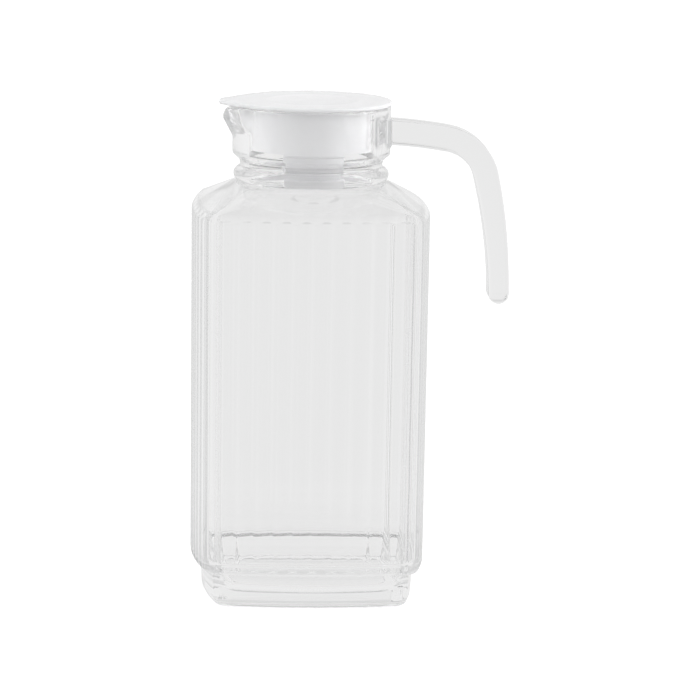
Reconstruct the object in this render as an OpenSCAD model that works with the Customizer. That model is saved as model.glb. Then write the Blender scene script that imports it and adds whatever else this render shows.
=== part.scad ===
// Square glass pitcher with a stoppered plastic lid.
// Millimetres. Origin on the neck's axis at the resting plane, +Z up, pouring lip towards -X, handle towards +X.

/* [Body] */
// Width of the body across the middles of opposite faces, just under the shoulder
body_w = 108; // [90:1:130]
// How far each side of the body draws in from the shoulder down to the foot
body_draft = 1.1; // [0:0.1:2]
// How far each face bows outwards at its middle
face_bow = 4.2; // [1:0.2:5]
// How far each upright corner is cut back beyond the edges of the fluted faces
corner_cut = 5.1; // [3:0.1:9]
// Height from the resting plane to the shoulder's edge
shoulder_z = 177.2; // [120:0.2:220]
// Thickness of the glass wall
wall = 3.2; // [2:0.2:4.6]
// Thickness of the glass floor
floor_t = 6; // [4:0.5:8]

/* [Flutes] */
// Number of upright flutes on each face
flute_count = 10; // [6:1:14]
// Depth of a flute at its middle
flute_depth = 0.8; // [0.3:0.1:1.2]

/* [Foot] */
// Height of the foot that steps in below the body
foot_h = 15; // [12:0.5:24]
// How far the foot stands in from the body, on each side
foot_step = 4.7; // [3:0.1:7]
// Radius of the foot's lower edge
foot_edge_r = 4; // [2:0.5:5]
// Depth of the hollow under the foot
punt_depth = 1; // [0.5:0.1:2]
// Width of the resting rim round that hollow
resting_rim = 7.8; // [6:0.2:14]
// Corner radius of that hollow
punt_corner_r = 14; // [6:1:24]

/* [Neck] */
// Height of the sloping shoulder
shoulder_h = 11.5; // [8:0.5:16]
// Radius at which the shoulder meets the neck
neck_base_r = 36.5; // [35.5:0.1:38]
// Radius of the bore that takes the plug
bore_r = 28.2; // [25:0.1:29]
// Radius of the ring round the foot of the neck
ring_r = 35.3; // [34.5:0.1:37]
// Height of that ring
ring_h = 7; // [5:0.5:9]
// Radius of the groove between the ring and the collar
groove_r = 32.4; // [31.5:0.1:33.5]
// Height of the groove
groove_h = 5; // [4:0.5:8]
// Outer radius of the collar
collar_r = 35.9; // [35:0.1:38]
// Height of the collar
collar_h = 23.1; // [20:0.1:30]
// How far the pouring lip stands out of the collar
lip_out = 4.4; // [3:0.2:6]
// Height over which the pouring lip runs out into the collar
lip_h = 15; // [10:0.5:18]

/* [Handle] */
// Reach of the handle from the neck's axis to its outermost point
handle_reach = 90.6; // [84:0.2:100]
// Height of the handle's lower end above the resting plane
handle_end_z = 133.4; // [100:0.2:145]
// Depth of the handle's upper edge below the rim
handle_below_rim = 6.6; // [4:0.2:8]
// Thickness of the handle from the collar to its bend, seen from the side
handle_root_t = 11.2; // [8:0.2:13]
// Thickness of the handle's lower end, seen from the side
handle_end_t = 9.4; // [7:0.2:12]
// Width of the handle, seen from the spout
handle_w = 16; // [12:0.5:20]

/* [Lid] */
// Radius of the lid's disc
disc_r = 36.6; // [36:0.1:40]
// Thickness of the lid's disc
disc_t = 1.9; // [1.4:0.1:3]
// How far the beak of the disc reaches from the neck's axis
beak_reach = 42.4; // [40:0.2:48]
// Radius of the finger dish in the disc
dish_r = 21; // [12:1:24]
// Depth of the finger dish
dish_depth = 1; // [0.4:0.1:1.2]
// Outer radius of the plug
plug_r = 27.1; // [23:0.1:27.5]
// Depth that the plug reaches down into the neck
plug_depth = 35.3; // [28:0.1:38]
// Thickness of the plug's wall
plug_wall = 1.6; // [1.2:0.1:2.5]
// Clearance between the sealing lips and the bore
fit_gap = 0.3; // [0.2:0.05:0.5]
// Number of sealing lips
seal_count = 6; // [3:1:6]
// Height of the windows in the lower part of the plug
window_h = 13; // [8:0.5:16]

/* [Hidden] */
$fn = 96;
// Facets of the round pieces that a hull is stretched over
hull_fn = 32;
// Overrun of every cut
over = 0.5;
// Thickness of the thin slices that a hull is stretched over
slice_t = 0.01;
// Straight steps that draw one flute, and one plain face
flute_steps = 5;
face_steps = 8;
// How far the rounded block that trims the flutes' ends stands clear of the ridges
trim_gap = 0.15;
// Radius where the shoulder turns into the faces, and where the faces turn in above the foot
shoulder_edge_r = 6;
belly_edge_r = 4.5;
// Radius of the bowl floor inside the foot
bowl_r = 9;
// How far the foot tapers in on each side, down to its rounded edge
foot_taper = 0.5;
// Chamfers of the collar's lower edge and of the rim
collar_chamfer = 2.2;
rim_chamfer = 0.8;
// Half thickness of the pouring lip, its wall and the drop of its tip below the rim
lip_r = 2;
lip_wall = 2.4;
lip_drop = 1.6;
// Height of the tip, the share of its radius left at its top, and how deep the lip's roots sink in
lip_tip_h = 3.6;
lip_tip_share = 0.5;
lip_sink = 0.6;
// Half angle of the collar that the lip spreads over, and of its channel
lip_angle = 34;
channel_angle = 24;
// Radius of the handle's bend, seen from the side, and of its long edges
handle_bend_r = 22;
handle_edge = 2.4;
// Fall of the handle at the collar, where the bend starts and ends, and at the lower end, in degrees
root_angle = 3;
bend_start_angle = 10;
bend_end_angle = 77;
end_angle = 89.5;
// Steps along the three stretches of the handle, and the largest share of its thickness that an edge rounds
root_steps = 4;
bend_steps = 8;
limb_steps = 6;
edge_share = 0.48;
// How far the pad under the handle stands out of the collar
pad_out = 0.4;
// Radius of the beak's round end
beak_tip_r = 10.5;
// Height and pitch of a sealing lip
seal_h = 0.9;
seal_pitch = 2.3;
// Height of the plain rim under the windows, and half the angle that each window covers
plug_rim_h = 2.4;
window_angle = 63;

body_half = body_w / 2;
panel_half = body_half - face_bow - corner_cut;
neck_z = shoulder_z + shoulder_h;
collar_z = neck_z + ring_h + groove_h;
rim_z = collar_z + collar_h;
pad_x = collar_r + pad_out;
root_z = (rim_z - handle_below_rim) - handle_root_t / 2;

// Share of the full width that the drafted body has at height z
function draft_share(z) =
    1 - body_draft / body_half * (shoulder_z - z) / (shoulder_z - foot_h);

// Half width of the hollow under the foot
punt_half = (body_half - foot_step - foot_taper - foot_edge_r) * draft_share(0) - resting_rim;

// Distance of a face from the axis at u, when the face stands in by inset
function face_at(u, half, inset) = body_half - inset - face_bow * pow(u / half, 2);

// Half width of a panel when the outline stands in by inset: the cut corners stay parallel
function inset_half(inset) = panel_half - inset * tan(22.5);

function turned(p, a) = [p[0] * cos(a) - p[1] * sin(a), p[0] * sin(a) + p[1] * cos(a)];

// Outline of the body, in by inset, with plain faces
function plain_outline(inset) =
    [for (side = [0:3]) for (i = [0:face_steps])
        let (half = inset_half(inset), u = half * (2 * i / face_steps - 1))
        turned([face_at(u, half, inset), u], 90 * side)];

// Outline of the body with its flutes, which leave a ridge between each two
function fluted_outline() =
    let (n = flute_count * flute_steps)
    [for (side = [0:3]) for (i = [0:n])
        let (u = panel_half * (2 * i / n - 1), t = (i % flute_steps) / flute_steps)
        turned([face_at(u, panel_half, 0) - flute_depth * (1 - pow(2 * t - 1, 2)), u], 90 * side)];

module slice(z, inset) {
    translate([0, 0, z]) linear_extrude(slice_t) scale(draft_share(z)) polygon(plain_outline(inset));
}

// The solid block of the body: a fluted prism, drafted, whose ends are trimmed by a rounded block
module body_block() {
    slope = atan(shoulder_h / (body_half - neck_base_r));
    turn = 90 - slope;
    top = shoulder_z - shoulder_edge_r * tan(turn / 2);
    low = foot_h + belly_edge_r;
    intersection() {
        translate([0, 0, foot_h])
            linear_extrude(neck_z - foot_h, scale = draft_share(neck_z) / draft_share(foot_h))
                scale(draft_share(foot_h)) polygon(fluted_outline());
        hull() {
            for (a = [0:30:90])
                slice(low - belly_edge_r * sin(a), belly_edge_r * (1 - cos(a)) - trim_gap);
            for (i = [0:3])
                slice(top + shoulder_edge_r * sin(turn * i / 3),
                      shoulder_edge_r * (1 - cos(turn * i / 3)) - trim_gap);
            translate([0, 0, neck_z]) cylinder(r = neck_base_r, h = slice_t, $fn = 2 * hull_fn);
        }
    }
}

// The foot, narrower than the body, with a rounded lower edge
module foot_block() {
    hull() {
        slice(foot_h + slice_t, foot_step);
        for (a = [0:30:90])
            slice(foot_edge_r * (1 - sin(a)), foot_step + foot_taper + foot_edge_r * (1 - cos(a)));
    }
}

// The neck: a ring, a groove and the heavy collar
module neck_block() {
    translate([0, 0, neck_z - over]) cylinder(r = groove_r, h = rim_z - neck_z + over - rim_chamfer);
    translate([0, 0, neck_z + ring_h / 2]) rotate_extrude()
        union() {
            translate([ring_r - ring_h / 2, 0]) circle(d = ring_h);
            translate([0, -ring_h / 2]) square([ring_r - ring_h / 2, ring_h]);
        }
    rotate_extrude() polygon([
        [0, collar_z - collar_chamfer], [groove_r, collar_z - collar_chamfer], [collar_r, collar_z],
        [collar_r, rim_z - rim_chamfer], [collar_r - rim_chamfer, rim_z], [0, rim_z]]);
}

// The pouring lip, drooping a little from the rim
module lip_block() {
    tip = collar_r + lip_out - lip_r;
    root = collar_r - lip_r - lip_sink;
    hull($fn = hull_fn) {
        translate([-tip, 0, rim_z - lip_drop - lip_tip_h])
            cylinder(r1 = lip_r, r2 = lip_r * lip_tip_share, h = lip_tip_h);
        for (a = [-lip_angle, lip_angle])
            rotate(a) translate([-root, 0, rim_z - rim_chamfer - lip_r]) cylinder(r = lip_r, h = lip_r);
        translate([-root, 0, rim_z - lip_h]) cylinder(r = lip_r, h = slice_t);
    }
}

// Flat pad on the collar that the handle is fused to
module handle_pad() {
    translate([groove_r - over, -handle_w / 2, (rim_z - handle_below_rim) - handle_root_t])
        cube([pad_x - groove_r + over, handle_w, handle_root_t]);
}

// Hollow of the body: a bowl inside the foot, straight walls and the underside of the shoulder
module cavity() {
    ledge_z = foot_h + wall;
    hull() {
        for (a = [0:30:90])
            slice(ledge_z + belly_edge_r * (1 - sin(a)), wall + foot_step * (1 - cos(a)));
        slice(shoulder_z - shoulder_edge_r, wall);
        slice(shoulder_z, wall + shoulder_edge_r / 2);
        translate([0, 0, neck_z]) cylinder(r = bore_r, h = slice_t, $fn = 2 * hull_fn);
    }
    hull() {
        slice(ledge_z + slice_t, foot_step + wall);
        for (a = [0:30:90])
            slice(floor_t + bowl_r * (1 - sin(a)), foot_step + wall + bowl_r * (1 - cos(a)));
    }
    translate([0, 0, neck_z - over]) cylinder(r = bore_r, h = rim_z - neck_z + 2 * over);
    translate([0, 0, rim_z - rim_chamfer])
        cylinder(r1 = bore_r, r2 = bore_r + rim_chamfer + over, h = rim_chamfer + over);
}

// Channel of the pouring lip
module lip_channel() {
    tip = collar_r + lip_out - lip_wall - lip_r;
    hull($fn = hull_fn) {
        translate([-tip, 0, rim_z - lip_drop]) cylinder(r = lip_r / 2, h = lip_drop + over);
        for (a = [-channel_angle, channel_angle])
            rotate(a) translate([-bore_r, 0, rim_z]) cylinder(r = lip_r / 2, h = over);
        translate([lip_r - bore_r, 0, rim_z - lip_h + lip_wall]) cylinder(r = lip_r, h = slice_t);
    }
}

// Square of width w with round corners
module rounded_square(w, r) {
    square([w, w - 2 * r], center = true);
    square([w - 2 * r, w], center = true);
    for (x = [-1, 1]) for (y = [-1, 1])
        translate([x, y] * (w / 2 - r)) circle(r = r);
}

module glass_body() {
    color([0.91, 0.92, 0.92, 0.5]) difference() {
        union() {
            body_block();
            foot_block();
            neck_block();
            lip_block();
            handle_pad();
        }
        cavity();
        lip_channel();
        translate([0, 0, -over])
            linear_extrude(punt_depth + over) rounded_square(2 * punt_half, punt_corner_r);
    }
}

// Centre line of the handle, seen from the side, as three arcs that fall away from the collar.
// The bend's radius is given; the other two follow from the reach and the end's height.
function fall(r, a0, a1) = r * [sin(a1) - sin(a0), cos(a1) - cos(a0)];
function arc_points(start, r, a0, a1, n) =
    [for (i = [1:n]) let (a = a0 + (a1 - a0) * i / n) concat(start + fall(r, a0, a), a)];

function handle_stations() =
    let (run_x = handle_reach - handle_end_t / 2 - pad_x,
         run_z = handle_end_z + handle_end_t / 2 - root_z,
         bend = fall(handle_bend_r, bend_start_angle, bend_end_angle),
         k1 = fall(1, root_angle, bend_start_angle),
         k3 = fall(1, bend_end_angle, end_angle),
         left = [run_x, run_z] - bend,
         det = k1[0] * k3[1] - k3[0] * k1[1],
         r1 = (left[0] * k3[1] - k3[0] * left[1]) / det,
         r3 = (k1[0] * left[1] - left[0] * k1[1]) / det,
         p0 = [pad_x, root_z],
         p1 = p0 + r1 * k1,
         p2 = p1 + bend)
    concat([concat(p0, 0)], arc_points(p0, r1, root_angle, bend_start_angle, root_steps),
           arc_points(p1, handle_bend_r, bend_start_angle, bend_end_angle, bend_steps),
           arc_points(p2, r3, bend_end_angle, end_angle, limb_steps));

// One rounded rectangle of the sweep: thickness t in the plane of the side view, width w across it
function handle_ring(s, t, w) =
    let (r = min(handle_edge, t * edge_share))
    [for (corner = [0:3]) for (a = [0:30:90])
        let (b = 90 * corner + a,
             cx = (corner == 0 || corner == 3 ? 1 : -1) * (t / 2 - r),
             cy = (corner < 2 ? 1 : -1) * (w / 2 - r),
             e = r * [cos(b), sin(b)] + [cx, cy])
        [s[0] + e[0] * sin(s[2]), e[1], s[1] + e[0] * cos(s[2])]];

module sweep(rings) {
    n = len(rings[0]);
    m = len(rings);
    polyhedron(
        points = [for (r = rings) each r],
        faces = concat(
            [[for (i = [0:n - 1]) i]],
            [[for (i = [n - 1:-1:0]) (m - 1) * n + i]],
            [for (j = [0:m - 2]) for (i = [0:n - 1]) for (half = [0, 1])
                let (a = j * n + i, b = j * n + (i + 1) % n)
                half == 0 ? [a, a + n, b] : [b, a + n, b + n]]));
}

module glass_handle() {
    stations = handle_stations();
    last = len(stations) - 1;
    end = stations[last];
    taper = (handle_end_t - handle_root_t) / limb_steps;
    color([0.92, 0.93, 0.93, 0.5]) sweep(concat(
        [for (i = [0:last]) handle_ring(
            stations[i], handle_root_t + taper * max(0, i - last + limb_steps), handle_w)],
        [for (a = [20:20:80]) handle_ring(
            [end[0] + handle_end_t / 2 * sin(a) * cos(end[2]),
             end[1] - handle_end_t / 2 * sin(a) * sin(end[2]), end[2]],
            handle_end_t * cos(a), handle_w - 2 * handle_edge * (1 - cos(a)))]));
}

// Outline of the lid's disc: two circles, and the straight edges that touch both of them
module disc_outline() {
    reach = beak_reach - beak_tip_r;
    a = acos((disc_r - beak_tip_r) / reach);
    circle(r = disc_r);
    translate([-reach, 0]) circle(r = beak_tip_r);
    polygon([for (side = [-1, 1]) for (end = [0, 1])
        (end == (side + 1) / 2 ? disc_r : beak_tip_r) * [-cos(a), side * sin(a)]
            - [end == (side + 1) / 2 ? 0 : reach, 0]]);
}

module lid() {
    plug_z = rim_z - plug_depth;
    dish_ball = (pow(dish_r, 2) + pow(dish_depth, 2)) / (2 * dish_depth);
    color([0.95, 0.95, 0.96]) difference() {
        union() {
            translate([0, 0, rim_z]) linear_extrude(disc_t) disc_outline();
            translate([0, 0, plug_z]) cylinder(r = plug_r, h = plug_depth);
            for (i = [0:seal_count - 1])
                translate([0, 0, plug_z + plug_rim_h + i * seal_pitch]) cylinder(
                    r1 = plug_r, r2 = bore_r - fit_gap, h = seal_h);
        }
        translate([0, 0, plug_z - over]) cylinder(r = plug_r - plug_wall, h = plug_depth + over);
        translate([0, 0, rim_z + disc_t - dish_depth + dish_ball]) sphere(r = dish_ball, $fn = 192);
        for (side = [0, 180])
            rotate(side) translate([0, 0, plug_z + plug_rim_h]) linear_extrude(window_h)
                polygon([[0, 0], 2 * disc_r * [cos(window_angle), sin(window_angle)],
                         2 * disc_r * [cos(window_angle), -sin(window_angle)]]);
    }
}

glass_body();
glass_handle();
lid();
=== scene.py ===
# %% [markdown]
# # A square glass pitcher with a stopper lid
# The jug is pressed from clear glass: a square, fluted body on a stepped foot, a round neck with a
# pouring lip, and a handle that hangs free at its lower end. A white plastic lid plugs the neck.
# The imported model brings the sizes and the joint. This script gives it its looks.

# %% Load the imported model
import math

import bpy
import numpy as np
from mathutils import Matrix, Vector


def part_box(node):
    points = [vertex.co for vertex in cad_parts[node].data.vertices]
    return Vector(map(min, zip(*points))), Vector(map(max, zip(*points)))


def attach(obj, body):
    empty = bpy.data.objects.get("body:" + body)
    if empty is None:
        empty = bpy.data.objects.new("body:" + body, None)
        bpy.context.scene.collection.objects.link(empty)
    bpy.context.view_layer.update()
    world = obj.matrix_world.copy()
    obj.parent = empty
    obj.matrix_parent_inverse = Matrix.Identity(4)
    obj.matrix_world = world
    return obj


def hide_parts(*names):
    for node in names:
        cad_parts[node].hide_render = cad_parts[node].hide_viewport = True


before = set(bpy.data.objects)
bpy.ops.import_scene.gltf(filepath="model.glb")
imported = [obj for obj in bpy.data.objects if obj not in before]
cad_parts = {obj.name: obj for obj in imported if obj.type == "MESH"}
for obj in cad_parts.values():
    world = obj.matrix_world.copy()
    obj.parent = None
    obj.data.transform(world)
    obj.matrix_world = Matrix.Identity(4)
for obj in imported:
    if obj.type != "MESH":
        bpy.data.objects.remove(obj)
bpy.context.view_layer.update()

# %% [markdown]
# ## The camera
# The photograph was taken from a little above and slightly from the left, from far away, so the
# jug's upright edges stay nearly parallel. The camera comes first.

# %% Camera
AIM = Vector((0, 0, 0.12))
YAW, ELEVATION, ROLL = (math.radians(a) for a in (-3.16, 8.957, 0.773))
DISTANCE = 2.7647
PHOTO_SIZE = 700
FOCAL_PIXELS = 6063.1
AIM_PIXEL = (308.9, 330.0)

back = Vector((math.sin(YAW) * math.cos(ELEVATION), -math.cos(YAW) * math.cos(ELEVATION),
               math.sin(ELEVATION)))
level = Vector((math.cos(YAW), math.sin(YAW), 0))
upright = back.cross(level)
right = math.cos(ROLL) * level + math.sin(ROLL) * upright
up = math.cos(ROLL) * upright - math.sin(ROLL) * level

camera_data = bpy.data.cameras.new("camera")
camera_data.sensor_width = 36
camera_data.lens = camera_data.sensor_width * FOCAL_PIXELS / PHOTO_SIZE
camera_data.shift_x = 0.5 - AIM_PIXEL[0] / PHOTO_SIZE
camera_data.shift_y = AIM_PIXEL[1] / PHOTO_SIZE - 0.5
camera = bpy.data.objects.new("camera", camera_data)
bpy.context.scene.collection.objects.link(camera)
facing = Matrix((right, up, back)).transposed().to_4x4()
camera.matrix_world = Matrix.Translation(AIM + back * DISTANCE) @ facing
bpy.context.scene.camera = camera
print("lens:", round(camera_data.lens, 1), "mm")

# %% [markdown]
# ## Sizes
# All sizes are in millimetres here, as a maker would write them, and become metres at the end.
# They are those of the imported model, whose boxes give the heights, the body's width and the reach
# of the handle and the beak. Only the finest roundings are chosen here.

# %% Sizes
MM = 0.001
body_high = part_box("glass_body")[1]
lid_low, lid_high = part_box("lid")
handle_low, handle_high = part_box("glass_handle")

BODY_HALF = body_high.y / MM
RIM_Z = body_high.z / MM
BODY_DRAFT = 1.1
FACE_BOW = 4.2
PANEL_HALF = 44.7
SHOULDER_Z = 177.2
SHOULDER_EDGE_R = 6
BELLY_EDGE_R = 4.5
WALL = 3.2
FLOOR_T = 6
BOWL_R = 9
FLUTES = 10
FLUTE_DEPTH = 0.8
TRIM_GAP = 0.15
FOOT_H = 15
FOOT_STEP = 4.7
FOOT_TAPER = 0.5
FOOT_EDGE_R = 4
PUNT_HALF, PUNT_CORNER_R, PUNT_DEPTH = 36, 14, 1
NECK_Z = 188.7
NECK_BASE_R = 36.5
BORE_R = 28.2
RING_R, RING_H = 35.3, 7
GROOVE_R = 32.4
COLLAR_Z, COLLAR_R = 200.7, 35.9
LIP_OUT, LIP_H, LIP_DROP = 4.4, 15, 1.6
PAD_X = handle_low.x / MM
HANDLE_ROOT_T, HANDLE_END_T = 11.2, 9.4
PAD_TOP, PAD_LOW = handle_high.z / MM, handle_high.z / MM - HANDLE_ROOT_T
print("rim", round(RIM_Z, 2), "half width", round(BODY_HALF, 2), "pad", round(PAD_X, 2))

# %% [markdown]
# ## How the glass is modelled
# Pressed glass has no seams: outside, rim and inside are one skin. A sheet of squares is therefore
# wrapped round the neck's axis, like paper round a bottle. Its columns run round the jug and its
# rows run from the hollow under the foot, up the outside, over the rim, and down the inside to the
# floor. Each row is one ring: a square outline in the body, a circle in the neck.

# %% Helpers for meshes
MERGE_WITHIN = 0.002 * MM


def deselect_all():
    """Leaves edit mode and selects nothing."""
    if bpy.context.object and bpy.context.object.mode != "OBJECT":
        bpy.ops.object.mode_set(mode="OBJECT")
    bpy.ops.object.select_all(action="DESELECT")


def edit(obj):
    """Opens one object in edit mode with all of it selected."""
    deselect_all()
    bpy.context.view_layer.objects.active = obj
    obj.select_set(True)
    bpy.ops.object.mode_set(mode="EDIT")
    bpy.ops.mesh.select_all(action="SELECT")


def wrap(name, rings):
    """A sheet of squares whose rows are the rings, closed round and filled at both ends."""
    rings = np.array(rings) * MM
    rows, columns = rings.shape[:2]
    deselect_all()
    bpy.ops.mesh.primitive_grid_add(x_subdivisions=columns, y_subdivisions=rows - 1, size=1)
    obj = bpy.context.object
    obj.name = obj.data.name = name
    closed = np.concatenate([rings, rings[:, :1]], axis=1)
    obj.data.vertices.foreach_set("co", closed.reshape(-1).astype(np.float32))
    edit(obj)
    bpy.ops.mesh.remove_doubles(threshold=MERGE_WITHIN)
    bpy.ops.mesh.select_all(action="DESELECT")
    bpy.ops.mesh.select_non_manifold()
    bpy.ops.mesh.fill_holes(sides=0)
    bpy.ops.mesh.select_all(action="SELECT")
    bpy.ops.mesh.normals_make_consistent(inside=False)
    bpy.ops.object.mode_set(mode="OBJECT")
    print(name, "rows", rows, "columns", columns, "faces", len(obj.data.polygons))
    return obj


def smooth(obj, degrees):
    """Shades an object smooth where its faces meet at less than so many degrees."""
    deselect_all()
    bpy.context.view_layer.objects.active = obj
    obj.select_set(True)
    bpy.ops.object.shade_smooth_by_angle(angle=math.radians(degrees))


def arc(count, start=0.0, end=90.0):
    """Angles in radians from start to end, both kept."""
    return np.radians(np.linspace(start, end, count + 1))

# %% [markdown]
# ## Columns of the sheet
# Each of the four sides has ten flutes with ten columns in each, then the rounded edge of the cut
# corner. A column also has a direction, the way its point of the square outline faces. On the
# round neck it goes to that same direction, so the shoulder is stretched straight between the two,
# as a cloth over a square and a ring would lie.

# %% Columns
FLUTE_COLUMNS = 10
ARC_COLUMNS = 8
EDGE_TURN = math.degrees(math.atan(2 * FACE_BOW / PANEL_HALF))
CORNER_TURN = 45
FLAT_TURN = 43
EDGE_ROOM = 0.02
EDGE_STEPS, SLOPE_STEPS = 24, 7
FLOOR_SHARES = (0.8, 0.6, 0.4, 0.2, 0.02)

face_share = np.arange(1, FLUTES * FLUTE_COLUMNS) / (FLUTES * FLUTE_COLUMNS) * 2 - 1
edge_turns = np.linspace(EDGE_TURN, FLAT_TURN, ARC_COLUMNS + 1)
corner_turns = np.concatenate([edge_turns, [CORNER_TURN], 90 - edge_turns[::-1]])
face_turns = np.degrees(np.arctan(2 * FACE_BOW * face_share / PANEL_HALF))
side_turns = np.concatenate([face_turns, corner_turns])
turns = np.radians(np.concatenate([side_turns + 90 * side for side in range(4)]))
flute_phase = np.arange(1, FLUTES * FLUTE_COLUMNS) % FLUTE_COLUMNS / FLUTE_COLUMNS
side_flute = np.concatenate([1 - (2 * flute_phase - 1) ** 2, np.zeros(len(corner_turns))])
flute = FLUTE_DEPTH * np.tile(side_flute, 4)
print("columns:", len(turns))

# %% Outlines and rings
def four_sides(x, y):
    """The points of one side and its corner, repeated on the other three sides."""
    sides = [(x, y), (-y, x), (-x, -y), (y, -x)]
    return np.array([np.concatenate([s[0] for s in sides]), np.concatenate([s[1] for s in sides])])


def square_outline(inset, edge_r):
    """The square outline with bowed faces, in by inset, with the cut corners' edges rounded."""
    first, second = math.radians(EDGE_TURN), math.radians(CORNER_TURN)
    face_end = BODY_HALF - inset - FACE_BOW
    room = math.sqrt(2) * edge_r * math.tan((second - first) / 2) + EDGE_ROOM
    half = min(PANEL_HALF - inset * math.tan(second / 2), face_end - room)
    vertex = np.array([face_end, half])
    n1, n2 = (np.array([math.cos(a), math.sin(a)]) for a in (first, second))
    centre = vertex - edge_r * (n1 + n2) / (1 + n1 @ n2)
    cut = max(edge_r * math.tan((second - first) / 2), half * 2 / (FLUTES * FLUTE_COLUMNS))
    u = face_share / abs(face_share[0]) * (half - cut)
    face = np.array([BODY_HALF - inset - FACE_BOW * (u / half) ** 2, u])
    a = np.radians(edge_turns)
    edge = centre[:, None] + edge_r * np.array([np.cos(a), np.sin(a)])
    middle = np.array([[edge[:, -1].sum() / 2] * 2]).T
    mirrored = edge[::-1, ::-1]
    x, y = np.concatenate([face, edge, middle, mirrored], axis=1)
    return four_sides(x, y)


def rounded_square(half, corner_r):
    """A square with round corners, for the hollow under the foot."""
    flat = half - corner_r
    a = np.radians((corner_turns - EDGE_TURN) / (90 - 2 * EDGE_TURN) * 90)
    x = np.concatenate([np.full(len(face_share), half), flat + corner_r * np.cos(a)])
    y = np.concatenate([face_share * flat, flat + corner_r * np.sin(a)])
    return four_sides(x, y)


def ring(outline, z):
    """An outline at height z."""
    return np.stack([outline[0], outline[1], np.broadcast_to(z, outline[0].shape)], axis=1)


def circle(r, z):
    """A round ring in the columns' directions. Both r and z may differ from column to column."""
    return ring(np.array([r * np.cos(turns), r * np.sin(turns)]), z)


def body_ring(z, inset, edge_r, pressed=None):
    """A ring of the drafted body. Where pressed is given, the flutes are sunk into the faces."""
    share = 1 - BODY_DRAFT / BODY_HALF * (SHOULDER_Z - z) / (SHOULDER_Z - FOOT_H)
    outline = square_outline(inset, edge_r)
    if pressed is not None:
        outline = outline - pressed * np.array([np.cos(turns), np.sin(turns)])
    return ring(outline * share, z)


def towards_middle(outline):
    """Smaller and smaller copies of a flat ring, so that a floor is made of small faces."""
    return [outline * (share, share, 1) for share in FLOOR_SHARES]


def between(start, end, count):
    """Rings stretched straight from one ring to another, without the two ends."""
    return [start + (end - start) * i / count for i in range(1, count)]

# %% [markdown]
# ## The outside of the body
# The flutes don't stop at a line. The mould rounds the body off at the shoulder and above the foot,
# and each flute runs out in an arch where that rounding passes under it. So at each height the face
# is sunk by the flute or by the rounding, whichever is deeper.

# %% Outside of the body
OUTER_EDGE_R = 1.2
FOOT_CORNER_R = 3
SOFTNESS = 0.1
PUNT_PROFILE = [(1.5, PUNT_DEPTH), (0.7, PUNT_DEPTH), (0.2, PUNT_DEPTH - 0.2), (0, PUNT_DEPTH - 0.5),
                (-0.4, 0)]
shoulder_turn = 90 - math.degrees(math.atan((NECK_Z - SHOULDER_Z) / (BODY_HALF - NECK_BASE_R)))
shoulder_start = SHOULDER_Z - SHOULDER_EDGE_R * math.tan(math.radians(shoulder_turn / 2))


def deeper(a, b):
    """The larger of two depths, with a soft change from one to the other."""
    return np.maximum(0, (a + b + np.sqrt((a - b) ** 2 + SOFTNESS ** 2)) / 2 - SOFTNESS / 2)


def fluted_ring(z, rounding):
    """A ring of the body where the mould's rounding sinks the whole outline by rounding."""
    inset = max(rounding, 0)
    return body_ring(z, inset, OUTER_EDGE_R, deeper(flute, rounding) - inset)

# %% Rings of the outside
punt = [ring(rounded_square(PUNT_HALF - inset, PUNT_CORNER_R - max(inset, 0)), z)
        for inset, z in PUNT_PROFILE]
punt = towards_middle(punt[0])[::-1] + punt
foot = [body_ring(FOOT_EDGE_R * (1 - math.sin(a)),
                  FOOT_STEP + FOOT_TAPER + FOOT_EDGE_R * (1 - math.cos(a)), FOOT_CORNER_R)
        for a in arc(10, 90, 0)]
foot += [body_ring(z, FOOT_STEP + FOOT_TAPER * (FOOT_H - z) / (FOOT_H - FOOT_EDGE_R), FOOT_CORNER_R)
         for z in (7, 10, 13, 14.6, FOOT_H - 0.1)]
belly = [fluted_ring(FOOT_H + BELLY_EDGE_R * (1 - math.sin(a)),
                     BELLY_EDGE_R * (1 - math.cos(a)) - TRIM_GAP)
         for a in arc(EDGE_STEPS, 90, 0)]
wall = [fluted_ring(z, -TRIM_GAP)
        for z in np.linspace(FOOT_H + BELLY_EDGE_R, shoulder_start, 14)[1:-1]]
shoulder = [fluted_ring(shoulder_start + SHOULDER_EDGE_R * math.sin(a),
                        SHOULDER_EDGE_R * (1 - math.cos(a)) - TRIM_GAP)
            for a in arc(EDGE_STEPS, 0, shoulder_turn)]
neck_foot = circle(NECK_BASE_R, NECK_Z - 0.3)
shoulder += between(shoulder[-1], neck_foot, SLOPE_STEPS)
outside = punt + foot + belly + wall + shoulder
print("rings outside, up to the neck:", len(outside))

# %% [markdown]
# ## The neck, its lip and the pad of the handle
# The neck is a turned shape: a ring, a groove, a small bead and the heavy collar. On one side the
# collar is drawn out into the pouring lip, and on the other it has a flat pad for the handle. Both
# are made by letting the radius of a ring change as it goes round.

# %% Neck, lip and pad
LIP_SOFT = math.radians(3)
LIP_SAG_SPREAD = 30
LIP_BELOW_RIM = (LIP_H, 5.4, 3.6, 1.4, 0)
LIP_BACK = (LIP_OUT, 0, 0.1, 0.8, 1.6)
PAD_HALF, PAD_EDGE, PAD_RISE, PAD_SINK = 8, 2.4, 2, 0.03
LEAST_COS = 0.5
from_lip = np.abs(np.angle(np.exp(1j * (turns - math.pi))))
from_lip_soft = np.sqrt(from_lip ** 2 + LIP_SOFT ** 2)


def smoothstep(t):
    """From 0 to 1 without a kink at either end."""
    t = np.clip(t, 0, 1)
    return t * t * (3 - 2 * t)


def lip_share(spread):
    """From 1 in the middle of the lip to 0 where it has run out, spread degrees away."""
    return np.clip(1 - (from_lip_soft - LIP_SOFT) / math.radians(spread), 0, 1)


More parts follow.
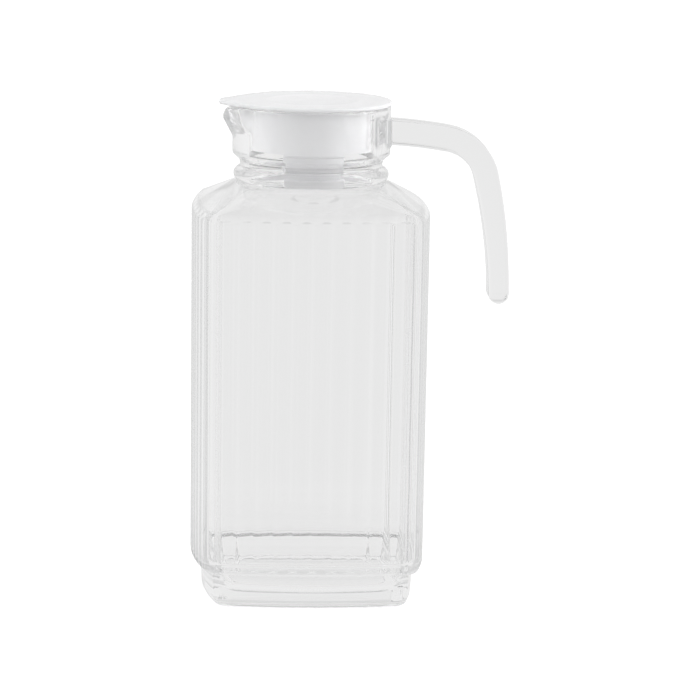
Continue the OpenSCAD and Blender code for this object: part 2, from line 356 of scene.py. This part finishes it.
def lip_radius(z):
    """Radius of the collar at height z, drawn out into the lip along straight tangents."""
    out = np.interp(z, [RIM_Z - below for below in LIP_BELOW_RIM], [LIP_OUT - b for b in LIP_BACK])
    reach = math.acos(COLLAR_R / (COLLAR_R + out)) + LIP_SOFT
    return COLLAR_R / np.cos(np.maximum(0, reach - from_lip_soft))


def pad_radius(z):
    """The collar with its flat pad at height z."""
    x, y = COLLAR_R * np.cos(turns), COLLAR_R * np.sin(turns)
    mask = smoothstep((PAD_HALF + PAD_EDGE - np.abs(y)) / PAD_EDGE) * (x > 0)
    mask = mask * smoothstep((z - PAD_LOW + PAD_RISE) / PAD_RISE)
    mask = mask * smoothstep((PAD_TOP + PAD_RISE - z) / PAD_RISE)
    pad = (PAD_X - PAD_SINK) / np.maximum(np.cos(turns), LEAST_COS)
    return COLLAR_R + np.maximum(0, pad - COLLAR_R) * mask


def rim_sag(z):
    """How far the rim sinks towards the lip's tip."""
    return LIP_DROP * lip_share(LIP_SAG_SPREAD) * smoothstep((z - RIM_Z + LIP_H) / LIP_H)


def collar_ring(z, inset=0.0):
    """A ring of the collar with its lip and its pad, in by inset."""
    return circle(np.maximum(lip_radius(z), pad_radius(z)) - inset, z - rim_sag(z))

# %% Rings of the neck
RING_MIDDLE = NECK_Z + RING_H / 2
RING_TURN = 62
LID_AIR = 0.12
RIM_TOP = RIM_Z - LID_AIR

# The profile gives radius and height, from the shoulder up to the collar.
bead = [(RING_R - RING_H / 2 + RING_H / 2 * math.cos(a), RING_MIDDLE + RING_H / 2 * math.sin(a))
        for a in arc(16, -RING_TURN, RING_TURN)]
profile = [(NECK_BASE_R, NECK_Z - 0.3), (NECK_BASE_R - 0.7, NECK_Z),
           (NECK_BASE_R - 2.2, NECK_Z + 0.15)]
profile += bead
profile += [(GROOVE_R, NECK_Z + RING_H), (GROOVE_R, NECK_Z + RING_H + 1.6),
            (GROOVE_R + 0.2, NECK_Z + 9.2), (GROOVE_R + 0.4, NECK_Z + 9.9),
            (GROOVE_R + 0.3, COLLAR_Z - 1.8), (GROOVE_R + 1.1, COLLAR_Z - 1.4),
            (COLLAR_R - 1, COLLAR_Z), (COLLAR_R - 0.25, COLLAR_Z + 0.6), (COLLAR_R, COLLAR_Z + 1.4)]
neck = [circle(r, z) for r, z in profile]
collar = [collar_ring(z) for z in np.linspace(COLLAR_Z + 2.2, RIM_Z - 0.9, 32)]
rim = [collar_ring(RIM_TOP - 0.3, 0.25), collar_ring(RIM_TOP, 0.9)]
print("rings of the neck:", len(neck), "and of the collar:", len(collar))

# %% [markdown]
# Inside the lip a channel rises and widens towards the rim. Below it the bore is round.

# %% Channel of the lip and the bore
CHANNEL_LOW = 211.2
CHANNEL_TIP = COLLAR_R + LIP_OUT - 3.4
CHANNEL_SPREAD = 24


def bore_ring(z, widen=0.0):
    """A ring of the bore with the lip's channel, out by widen."""
    rise = np.clip((z - CHANNEL_LOW) / (RIM_Z - LIP_DROP - CHANNEL_LOW), 0, 1)
    depth = (CHANNEL_TIP - BORE_R) * rise
    r = BORE_R + widen + (depth - widen) * lip_share(CHANNEL_SPREAD) * (depth > 0)
    return circle(r, z - rim_sag(z))


rim += [bore_ring(RIM_TOP, 0.9), bore_ring(RIM_TOP - 0.25, 0.3)]
bore = [bore_ring(z) for z in np.linspace(RIM_Z - 0.9, CHANNEL_LOW - 0.5, 18)]
bore += [circle(BORE_R, z) for z in (206, 201, 196, 192.5, 191)]
print("rings of the bore:", len(bore))

# %% [markdown]
# ## The inside
# The inside is plain: the bore opens under the shoulder, the walls run down smooth behind the
# flutes, and they end in a bowl inside the foot. Smooth glass behind fluted glass is what makes the
# faint upright stripes.

# %% Inside of the body
INNER_EDGE_R = 3
INNER_SHOULDER_R = 4
THROAT_R = 2.2
BOWL_EDGE_GROWTH = 4
LEDGE_Z = FOOT_H + WALL
inner_slope = math.degrees(math.atan((NECK_Z - SHOULDER_Z) / (BODY_HALF - WALL - BORE_R)))
inner_turn = 90 - inner_slope
inner_top = SHOULDER_Z - INNER_SHOULDER_R * math.tan(math.radians(inner_turn / 2))
throat = [circle(BORE_R + THROAT_R * (1 - math.cos(a)), NECK_Z + THROAT_R - THROAT_R * math.sin(a))
          for a in arc(5, 0, inner_turn)]
under_shoulder = [body_ring(inner_top + INNER_SHOULDER_R * math.sin(a),
                            WALL + INNER_SHOULDER_R * (1 - math.cos(a)), INNER_EDGE_R)
                  for a in arc(8, inner_turn, 0)]
inside = throat + between(throat[-1], under_shoulder[0], SLOPE_STEPS) + under_shoulder
inside += [body_ring(z, WALL, INNER_EDGE_R)
           for z in np.linspace(inner_top, LEDGE_Z + BELLY_EDGE_R, 12)[1:-1]]
inside += [body_ring(LEDGE_Z + BELLY_EDGE_R * (1 - math.sin(a)),
                     WALL + FOOT_STEP * (1 - math.cos(a)), INNER_EDGE_R)
           for a in arc(8)]
inside += [body_ring(FLOOR_T + BOWL_R * (1 - math.sin(a)),
                     FOOT_STEP + WALL + BOWL_R * (1 - math.cos(a)),
                     INNER_EDGE_R + BOWL_EDGE_GROWTH * a)
           for a in arc(12)]
inside.append(body_ring(FLOOR_T, FOOT_STEP + WALL + BOWL_R + 1,
                        INNER_EDGE_R + BOWL_EDGE_GROWTH * math.pi / 2))
inside += towards_middle(inside[-1])

# %% The jug in one skin
JUG_SHARP_FROM = 31

glass_jug = wrap("glass_jug", outside + neck + collar + rim + bore + inside)
smooth(glass_jug, JUG_SHARP_FROM)

# %% [markdown]
# ## The handle
# The handle leaves the collar nearly level, turns down in one bend and hangs free. Its centre line
# is three arcs that follow each other without a kink. Rounded rectangles are set along it, and the
# lower end closes in a half circle seen from the side.

# %% Centre line of the handle
HANDLE_HALF_W = handle_high.y / MM
HANDLE_EDGE_R = 1.2
BEND_R = 22
ROOT_SLOPE, BEND_FROM, BEND_TO, END_SLOPE = 3, 10, 77, 89.5
ROOT_STEPS, BEND_STEPS, LIMB_STEPS = 16, 32, 24
THINNING_BEFORE, THINNING_STEPS = 6, 30
HANDLE_REACH = handle_high.x / MM
HANDLE_END_Z = handle_low.z / MM


def fall(r, start, end):
    """The way covered by an arc of radius r that falls from one slope to another."""
    a, b = math.radians(start), math.radians(end)
    return r * np.array([math.sin(b) - math.sin(a), math.cos(b) - math.cos(a)])


def arc_points(start, r, slope, end_slope, count):
    """Stations on an arc from start, each with its slope in degrees."""
    slopes = [slope + (end_slope - slope) * i / count for i in range(1, count + 1)]
    return [(*(start + fall(r, slope, s)), s) for s in slopes]


handle_start = np.array([PAD_X, PAD_TOP - HANDLE_ROOT_T / 2])
run = np.array([HANDLE_REACH - HANDLE_END_T / 2, HANDLE_END_Z + HANDLE_END_T / 2]) - handle_start
bend = fall(BEND_R, BEND_FROM, BEND_TO)
root_r, limb_r = np.linalg.solve(
    np.array([fall(1, ROOT_SLOPE, BEND_FROM), fall(1, BEND_TO, END_SLOPE)]).T, run - bend)
after_root = handle_start + root_r * fall(1, ROOT_SLOPE, BEND_FROM)
stations = [(*handle_start, 0.0)]
stations += arc_points(handle_start, root_r, ROOT_SLOPE, BEND_FROM, ROOT_STEPS)
stations += arc_points(after_root, BEND_R, BEND_FROM, BEND_TO, BEND_STEPS)
stations += arc_points(after_root + bend, limb_r, BEND_TO, END_SLOPE, LIMB_STEPS)
print("radii of the root and the limb:", round(root_r, 1), round(limb_r, 1))

# %% Handle
CORNER_POINTS, MOST_ROUND = 9, 0.499
TIP_TURN = 84
GRIP_SHARP_FROM = 40


def handle_ring(x, z, slope, t, half_w):
    """A rounded rectangle, t thick in the side view, set square to the handle's centre line."""
    r = min(HANDLE_EDGE_R, MOST_ROUND * t)
    points = []
    for corner, (sx, sy) in enumerate([(1, 1), (-1, 1), (-1, -1), (1, -1)]):
        for a in np.radians(np.linspace(0, 90, CORNER_POINTS)) + corner * math.pi / 2:
            points.append((sx * (t / 2 - r) + r * math.cos(a), sy * (half_w - r) + r * math.sin(a)))
    across, sideways = np.array(points).T
    fall_angle = math.radians(slope)
    return np.stack([x + across * math.sin(fall_angle), sideways, z + across * math.cos(fall_angle)],
                    axis=1)


def handle_rings():
    """The rings from the pad to the rounded tip."""
    rings = []
    thinning = len(stations) - 1 - LIMB_STEPS - THINNING_BEFORE
    for i, (x, z, slope) in enumerate(stations):
        share = smoothstep(max(0, i - thinning) / THINNING_STEPS)
        t = HANDLE_ROOT_T + (HANDLE_END_T - HANDLE_ROOT_T) * share
        rings.append(handle_ring(x, z, slope, t, HANDLE_HALF_W))
    x, z, slope = stations[-1]
    ahead = np.array([math.cos(math.radians(slope)), -math.sin(math.radians(slope))])
    for a in arc(14, 0, TIP_TURN)[1:]:
        tip = np.array([x, z]) + ahead * HANDLE_END_T / 2 * math.sin(a)
        width = HANDLE_HALF_W - HANDLE_EDGE_R * (1 - math.cos(a))
        rings.append(handle_ring(*tip, slope, HANDLE_END_T * math.cos(a), width))
    return rings


glass_grip = wrap("glass_grip", handle_rings())
smooth(glass_grip, GRIP_SHARP_FROM)

# %% [markdown]
# ## The lid
# The lid is one moulding of soft white plastic: a thin disc with a beak over the pouring lip and a
# shallow dish for a finger, and a hollow plug with sealing lips. The plug has two wide windows. The
# drink runs out while one of them faces the pouring lip.

# %% Outline of the lid
DISC_R, DISC_T = lid_high.x / MM, lid_high.z / MM - RIM_Z
BEAK_REACH, BEAK_R = -lid_low.x / MM, 14
TANGENT_LIMIT, TIP_LIMIT = 1.2, 1
DISH_R, DISH_DEPTH = 21, 1
PLUG_Z = lid_low.z / MM
PLUG_R, PLUG_WALL, PLUG_EDGE = 27.1, 1.6, 0.4
PLUG_RIM_H, WINDOW_H = 2.4, 13
SEAL_R, SEAL_H, SEAL_PITCH, SEALS = BORE_R - 0.3, 0.9, 2.3, 6
LID_COLUMNS = 192
lid_turns = np.radians(np.arange(LID_COLUMNS) * 360 / LID_COLUMNS)


def beak_radius():
    """Radius of the disc's outline, whose beak is a circle on straight tangents to the disc."""
    reach = BEAK_REACH - BEAK_R
    lean = math.acos((DISC_R - BEAK_R) / reach)
    a = np.abs(np.angle(np.exp(1j * (lid_turns - math.pi))))
    straight = DISC_R / np.cos(np.minimum(a - lean, TANGENT_LIMIT))
    tip = reach * np.cos(a) + np.sqrt(np.maximum(0, BEAK_R ** 2 - (reach * np.sin(a)) ** 2))
    on_tip = np.abs(np.tan(a)) * (reach + BEAK_R * math.cos(lean)) < BEAK_R * math.sin(lean)
    return np.where(a < lean, np.where(on_tip & (a < TIP_LIMIT), tip, straight), DISC_R)


def lid_ring(r, z):
    """A ring of the lid."""
    r = np.broadcast_to(r, lid_turns.shape)
    return np.stack([r * np.cos(lid_turns), r * np.sin(lid_turns), np.full(LID_COLUMNS, z)], axis=1)

# %% Rings of the lid
top_z = RIM_Z + DISC_T
dish_ball = (DISH_R ** 2 + DISH_DEPTH ** 2) / (2 * DISH_DEPTH)
dish = [(r, top_z - DISH_DEPTH + dish_ball - math.sqrt(dish_ball ** 2 - r ** 2))
        for r in np.linspace(0.5, DISH_R, 24)]
lid_rings = [lid_ring(r, z) for r, z in dish]
lid_rings += [lid_ring(r, top_z) for r in (DISH_R + 0.6, 24, 28, 32)]
disc_middle, disc_edge = RIM_Z + DISC_T / 2, DISC_T / 2
lid_rings += [lid_ring(beak_radius() - disc_edge * (1 - math.cos(a)),
                       disc_middle + disc_edge * math.sin(a))
              for a in arc(10, 90, -90)]
lid_rings += [lid_ring(r, RIM_Z) for r in (32, 29)]
lid_rings += [lid_ring(PLUG_R + PLUG_EDGE * (1 - math.sin(a)), RIM_Z - PLUG_EDGE * (1 - math.cos(a)))
              for a in arc(4)]
lid_rings.append(lid_ring(PLUG_R, PLUG_Z + PLUG_RIM_H + SEALS * SEAL_PITCH))
for seal in range(SEALS - 1, -1, -1):
    low = PLUG_Z + PLUG_RIM_H + seal * SEAL_PITCH
    lid_rings += [lid_ring(PLUG_R, low + SEAL_H + 0.05), lid_ring(SEAL_R, low + SEAL_H),
                  lid_ring(SEAL_R, low + SEAL_H - 0.2), lid_ring(PLUG_R, low)]
lid_rings += [lid_ring(PLUG_R, PLUG_Z + PLUG_EDGE), lid_ring(PLUG_R - 0.15, PLUG_Z + 0.1),
              lid_ring(PLUG_R - PLUG_EDGE, PLUG_Z)]
inner_r = PLUG_R - PLUG_WALL
lid_rings += [lid_ring(inner_r + PLUG_EDGE, PLUG_Z), lid_ring(inner_r, PLUG_Z + PLUG_EDGE)]
lid_rings += [lid_ring(inner_r, z) for z in (PLUG_Z + 8, PLUG_Z + 16, RIM_Z - 6, RIM_Z - 1)]
lid_rings += [lid_ring(inner_r - 1 + math.cos(a), RIM_Z - 1 + math.sin(a)) for a in arc(4)]
lid_rings += [lid_ring(r, RIM_Z) for r in (20, 10, 1)]
lid = wrap("stopper_lid", lid_rings)

# %% Windows in the plug
WINDOW_HALF = 63
WEDGE_REACH = 2.4 * PLUG_R
LID_SHARP_FROM = 35


def cut_window(body, direction):
    """Cuts a wedge, WINDOW_HALF degrees to each side of direction, out of the plug's wall."""
    deselect_all()
    bpy.ops.mesh.primitive_cylinder_add(vertices=3, radius=1, depth=WINDOW_H * MM)
    wedge = bpy.context.object
    low = (PLUG_Z + PLUG_RIM_H) * MM
    far = WEDGE_REACH * MM
    sides = [math.radians(direction + s * WINDOW_HALF) for s in (-1, 1)]
    corners = [(0, 0)] + [(far * math.cos(a), far * math.sin(a)) for a in sides]
    for v in wedge.data.vertices:
        x, y = corners[(v.index // 2) % 3]
        v.co = (x, y, low + (WINDOW_H * MM if v.co.z > 0 else 0))
    edit(wedge)
    bpy.ops.mesh.normals_make_consistent(inside=False)
    bpy.ops.object.mode_set(mode="OBJECT")
    deselect_all()
    bpy.context.view_layer.objects.active = body
    body.select_set(True)
    cut = body.modifiers.new("window", "BOOLEAN")
    cut.operation = "DIFFERENCE"
    cut.object = wedge
    cut.solver = "EXACT"
    bpy.ops.object.modifier_apply(modifier=cut.name)
    bpy.data.objects.remove(wedge)


for direction in (0, 180):
    cut_window(lid, direction)
smooth(lid, LID_SHARP_FROM)
print("lid after the windows:", len(lid.data.polygons), "faces")

# %% [markdown]
# ## Materials
# A small class writes shader sums as Python expressions, and a few helpers name the nodes that the
# finishes share.

# %% Shader helper
class Socket:
    """A node's output, or a number, that can be added, multiplied and so on."""

    def __init__(self, shader, link):
        self.shader, self.link = shader, link

    def _maths(self, operation, *values):
        return self.shader.node("ShaderNodeMath", {"operation": operation}, dict(enumerate(values)))

    def __add__(self, other):
        return self._maths("ADD", self, other)

    def __radd__(self, other):
        return self._maths("ADD", other, self)

    def __rsub__(self, other):
        return self._maths("SUBTRACT", other, self)

    def __mul__(self, other):
        return self._maths("MULTIPLY", self, other)

    def __rmul__(self, other):
        return self._maths("MULTIPLY", other, self)

    def __truediv__(self, other):
        return self._maths("DIVIDE", self, other)

    def __rtruediv__(self, other):
        return self._maths("DIVIDE", other, self)

    def up_to(self, limit):
        return self._maths("MINIMUM", self, limit)

    def ramp(self, low, high):
        """Goes softly from 0 at low to 1 at high, whichever of the two is the larger."""
        falls = low > high
        return self.shader.node("ShaderNodeMapRange", {"interpolation_type": "SMOOTHSTEP"}, {
            "Value": self, "From Min": min(low, high), "From Max": max(low, high),
            "To Min": int(falls), "To Max": int(not falls)})


class Shader:
    """The nodes of one material or world."""

    def __init__(self, owner):
        owner.use_nodes = True
        self.tree = owner.node_tree
        self.tree.nodes.clear()

    def node(self, kind, settings=None, values=None, out=0):
        node = self.tree.nodes.new(kind)
        for name, value in (settings or {}).items():
            setattr(node, name, value)
        for name, value in (values or {}).items():
            if isinstance(value, Socket):
                self.tree.links.new(value.link, node.inputs[name])
            else:
                node.inputs[name].default_value = value
        return Socket(self, node.outputs[out]) if node.outputs else node

    def place(self, kind="Object"):
        return self.node("ShaderNodeTexCoord", out=kind)

    def parts(self, place):
        """The x, y and z of a place."""
        return [self.node("ShaderNodeSeparateXYZ", values={"Vector": place}, out=axis)
                for axis in ("X", "Y", "Z")]

    def ray(self, question):
        """What is known of the ray that asks."""
        return self.node("ShaderNodeLightPath", out=question)

    def bumps(self, scale, detail, strength, height):
        """Soft noise, and the surface that it dents by up to height."""
        noise = self.node("ShaderNodeTexNoise", values={
            "Vector": self.place(), "Scale": scale, "Detail": detail})
        surface = self.node("ShaderNodeBump", values={
            "Strength": strength, "Distance": height, "Height": noise})
        return noise, surface

    def matt(self, level):
        return self.node("ShaderNodeBsdfDiffuse", values={"Color": (level, level, level, 1)})

    def glow(self, strength):
        return self.node("ShaderNodeEmission", values={"Color": (1, 1, 1, 1), "Strength": strength})

    def both(self, first, second):
        return self.node("ShaderNodeAddShader", values={0: first, 1: second})

    def choose(self, share, without, with_it):
        return self.node("ShaderNodeMixShader", values={0: share, 1: without, 2: with_it})


print("shader helper ready")

# %% Clear glass
GLASS_TINT, GLASS_DENSITY, GLASS_IOR = (0.5, 0.52, 0.53), 0.8, 1.5
WAVE_SCALE, BODY_WAVES, GRIP_WAVES = 70, 0.04 * MM, 0.02 * MM


def clear_glass(name, wave_height):
    """Polished glass whose faces keep the faint waves of the mould."""
    material = bpy.data.materials.new(name)
    shader = Shader(material)
    _, surface = shader.bumps(WAVE_SCALE, 0, 1, wave_height)
    glass = shader.node("ShaderNodeBsdfPrincipled", values={
        "Base Color": (1, 1, 1, 1), "Roughness": 0, "IOR": GLASS_IOR, "Transmission Weight": 1,
        "Normal": surface})
    absorb = shader.node("ShaderNodeVolumeAbsorption", values={
        "Color": (*GLASS_TINT, 1), "Density": GLASS_DENSITY})
    shader.node("ShaderNodeOutputMaterial", values={"Surface": glass, "Volume": absorb})
    return material


body_glass = clear_glass("clear_glass", BODY_WAVES)
grip_glass = clear_glass("grip_glass", GRIP_WAVES)
print("glass:", body_glass.name, grip_glass.name)

# %% [markdown]
# The handle is fused to its pad, so no surface is left between the two. Both pieces stay closed, and
# the faces that meet at the joint get a finish that light passes without bending.

# %% Fused joint
JOINT_NEAR, JOINT_INSET = 0.05, 0.2


def fused_joint():
    """A finish that light passes straight on."""
    material = bpy.data.materials.new("fused_joint")
    shader = Shader(material)
    clear = shader.node("ShaderNodeBsdfTransparent", values={"Color": (1, 1, 1, 1)})
    shader.node("ShaderNodeOutputMaterial", values={"Surface": clear})
    return material


def at_joint(point):
    """Whether a point in metres lies where the handle meets its pad."""
    x, y, z = point / MM
    in_width = abs(y) < HANDLE_HALF_W - JOINT_INSET
    in_height = PAD_LOW + JOINT_INSET < z < PAD_TOP - JOINT_INSET
    return abs(x - PAD_X) < JOINT_NEAR and in_width and in_height

# %% Lid plastic
LID_WHITE, LID_IOR = (0.92, 0.92, 0.935, 1), 1.5
LID_ROUGH, LID_ROUGH_GRAIN = 0.2, 0.08
GRAIN_SCALE, GRAIN_DETAIL, GRAIN_STRENGTH, GRAIN_HEIGHT = 900, 3, 0.4, 0.06 * MM
LID_DEEP_LIGHT, LID_LIGHT_REACH = 0.3, 5 * MM


def lid_plastic():
    """White moulded plastic with a fine grain, which light enters a little way."""
    material = bpy.data.materials.new("lid_plastic")
    shader = Shader(material)
    grain, surface = shader.bumps(GRAIN_SCALE, GRAIN_DETAIL, GRAIN_STRENGTH, GRAIN_HEIGHT)
    plastic = shader.node("ShaderNodeBsdfPrincipled", values={
        "Base Color": LID_WHITE, "Roughness": LID_ROUGH + grain * LID_ROUGH_GRAIN, "IOR": LID_IOR,
        "Normal": surface, "Subsurface Weight": LID_DEEP_LIGHT,
        "Subsurface Radius": (LID_LIGHT_REACH,) * 3, "Subsurface Scale": 1})
    shader.node("ShaderNodeOutputMaterial", values={"Surface": plastic})
    return material


for piece, material in ((glass_jug, body_glass), (glass_grip, grip_glass), (lid, lid_plastic())):
    piece.data.materials.clear()
    piece.data.materials.append(material)
    print(piece.name, "is made of", material.name)

joint = fused_joint()
for piece in (glass_jug, glass_grip):
    piece.data.materials.append(joint)
    meeting = [face for face in piece.data.polygons if at_joint(face.center)]
    for face in meeting:
        face.material_index = 1
    print(piece.name, "faces at the joint:", len(meeting))

# %% [markdown]
# ## Floor and world
# Clear glass shows only what is around it, so the room answers three kinds of question. Where the
# camera looks straight at it, it is white. Through glass and in its reflections it is a pale
# studio, darker above, in front of the jug and along the table's end. And what falls on matt
# surfaces is soft light, most of it from the two sides, as the shading of the lid's plug shows.

# %% Levels of the studio
# What glass shows. Heights and directions are parts of a direction of length 1, and a depth counts
# how often the light has met a surface.
GLASS_LEVEL = 0.83
SIDE_GLOW, SIDE_SPREAD = 0.06, 0.12
CEILING_DIM, CEILING_FROM, CEILING_TO = 0.55, 0.72, 0.9
FRONT_DIM, FRONT_FROM, FRONT_TO = 0.2, 0.3, 0.9
BAND_DIM, BAND_FRONT, BAND_FROM, BAND_TO, BAND_SOFT = 0.16, 0.6, 0.06, 0.15, 0.04
FLOOR_REACH, NEVER_ZERO = 0.25, 0.0001
DEPTH_DIM, DEPTH_BACK, DEPTH_FROM, DEPTH_TO, DEPTH_SOFT = 0.34, 0.85, 5, 10, 3
SHINE = 0.1
# What falls on matt surfaces, and how much more of it has come through glass.
LIGHT_EVEN, LIGHT_SIDES, LIGHT_RIGHT, LIGHT_ABOVE = 0.08, 3.1, 0.42, 0.13
BOOST_THROUGH = 0.68
# The floor, first as the camera sees it and then as it lights other things.
FLOOR_SIZE, FLOOR_MATT, FLOOR_GLOW = 20, 0.5, 0.7
FLOOR_LIT_MATT, FLOOR_LIFT = 0.65, 0.7


def seen_through_glass(shader, place):
    """The pale studio that glass shows: a little brighter to both sides, dimmer above, in front of
    the jug and where the table ends, and dimmer for light that has been thrown about in the glass.
    A place on the floor is turned into a direction from the jug's foot."""
    x, y, z = shader.parts(place)
    length = shader.node("ShaderNodeVectorMath", {"operation": "LENGTH"}, {0: place}, out="Value")
    share = (1 / (length + NEVER_ZERO)).up_to(1 / FLOOR_REACH)
    sideways, ahead = x * share, y * share
    sides = sideways * sideways
    above = z.ramp(CEILING_FROM, CEILING_TO)
    front = (0 - ahead).ramp(FRONT_FROM, FRONT_TO)
    band = z.ramp(BAND_FROM, BAND_FROM + BAND_SOFT) * z.ramp(BAND_TO + BAND_SOFT, BAND_TO)
    depth = shader.ray("Ray Depth")
    thrown = depth.ramp(DEPTH_FROM, DEPTH_FROM + DEPTH_SOFT)
    thrown = thrown * (1 - DEPTH_BACK * depth.ramp(DEPTH_TO, DEPTH_TO + DEPTH_SOFT))
    level = GLASS_LEVEL + SIDE_GLOW * sides / (sides + SIDE_SPREAD)
    level = level * (1 - CEILING_DIM * above) * (1 - FRONT_DIM * front) * (1 - DEPTH_DIM * thrown)
    return level * (1 - (BAND_DIM + BAND_FRONT * front) * band * (1 - sides))


def lights_matt(shader):
    """1 for light on its way to a matt surface, 0 for what the eye follows."""
    return shader.ray("Diffuse Depth").up_to(1)


print("the studio's level through glass:", GLASS_LEVEL)

# %% [markdown]
# Blender can also aim rays at whatever gives light. Such a ray doesn't say whether a matt surface
# sent it, so the floor and the world would answer it wrongly. For both of them this is switched off.

# %% Floor
def floor_paper():
    """White to the camera, the studio through glass, and pale paper for the light it throws back."""
    material = bpy.data.materials.new("floor")
    material.cycles.emission_sampling = "NONE"
    shader = Shader(material)
    white = shader.both(shader.matt(FLOOR_MATT), shader.glow(FLOOR_GLOW))
    studio = shader.glow(seen_through_glass(shader, shader.place()))
    lift = shader.glow(shader.ray("Is Transmission Ray") * FLOOR_LIFT)
    lit = shader.both(shader.matt(FLOOR_LIT_MATT), lift)
    eye = shader.choose(shader.ray("Is Camera Ray"), studio, white)
    paper = shader.choose(lights_matt(shader), eye, lit)
    shader.node("ShaderNodeOutputMaterial", values={"Surface": paper})
    return material


deselect_all()
bpy.ops.mesh.primitive_plane_add(size=FLOOR_SIZE, location=(0, 0, 0))
floor = bpy.context.object
floor.name = "floor"
floor.data.materials.append(floor_paper())
print("floor:", FLOOR_SIZE, "m square")

# %% World
def surround(world):
    """White to the camera, the studio through glass, and the soft light that matt surfaces get."""
    shader = Shader(world)
    place = shader.place("Generated")
    x, _, z = shader.parts(place)
    light = LIGHT_EVEN + LIGHT_SIDES * x * x + LIGHT_RIGHT * x + LIGHT_ABOVE * z
    light = light * (1 + BOOST_THROUGH * shader.ray("Is Transmission Ray"))
    outer_shine = shader.ray("Is Glossy Ray") * shader.ray("Transmission Depth").ramp(1, 0)
    shown = (1 + SHINE * outer_shine) * seen_through_glass(shader, place)
    seen, lighting = shader.ray("Is Camera Ray"), lights_matt(shader)
    level = seen + (1 - seen) * (lighting * light + (1 - lighting) * shown)
    room = shader.node("ShaderNodeBackground", values={"Color": (1, 1, 1, 1), "Strength": level})
    shader.node("ShaderNodeOutputWorld", values={"Surface": room})


world = bpy.data.worlds.new("world")
world.cycles.sampling_method = "NONE"
surround(world)
bpy.context.scene.world = world
print("world:", len(world.node_tree.nodes), "nodes")

# %% Light paths
BOUNCES = 160

bpy.context.scene.view_settings.view_transform = "Standard"
cycles = bpy.context.scene.cycles
cycles.max_bounces = cycles.transmission_bounces = cycles.glossy_bounces = BOUNCES
print("light is followed for", BOUNCES, "bounces")

# %% [markdown]
# ## What each piece stands for
# Every piece rides on a body of the imported model and stands for one of its nodes, which is hidden.

# %% Ride and replace
for piece, body, node, slot in ((glass_jug, "jug", "glass_body", "clear_glass"),
                                (glass_grip, "jug", "glass_handle", "handle_glass"),
                                (lid, "lid", "lid", "lid_plastic")):
    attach(piece, body)
    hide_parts(node)
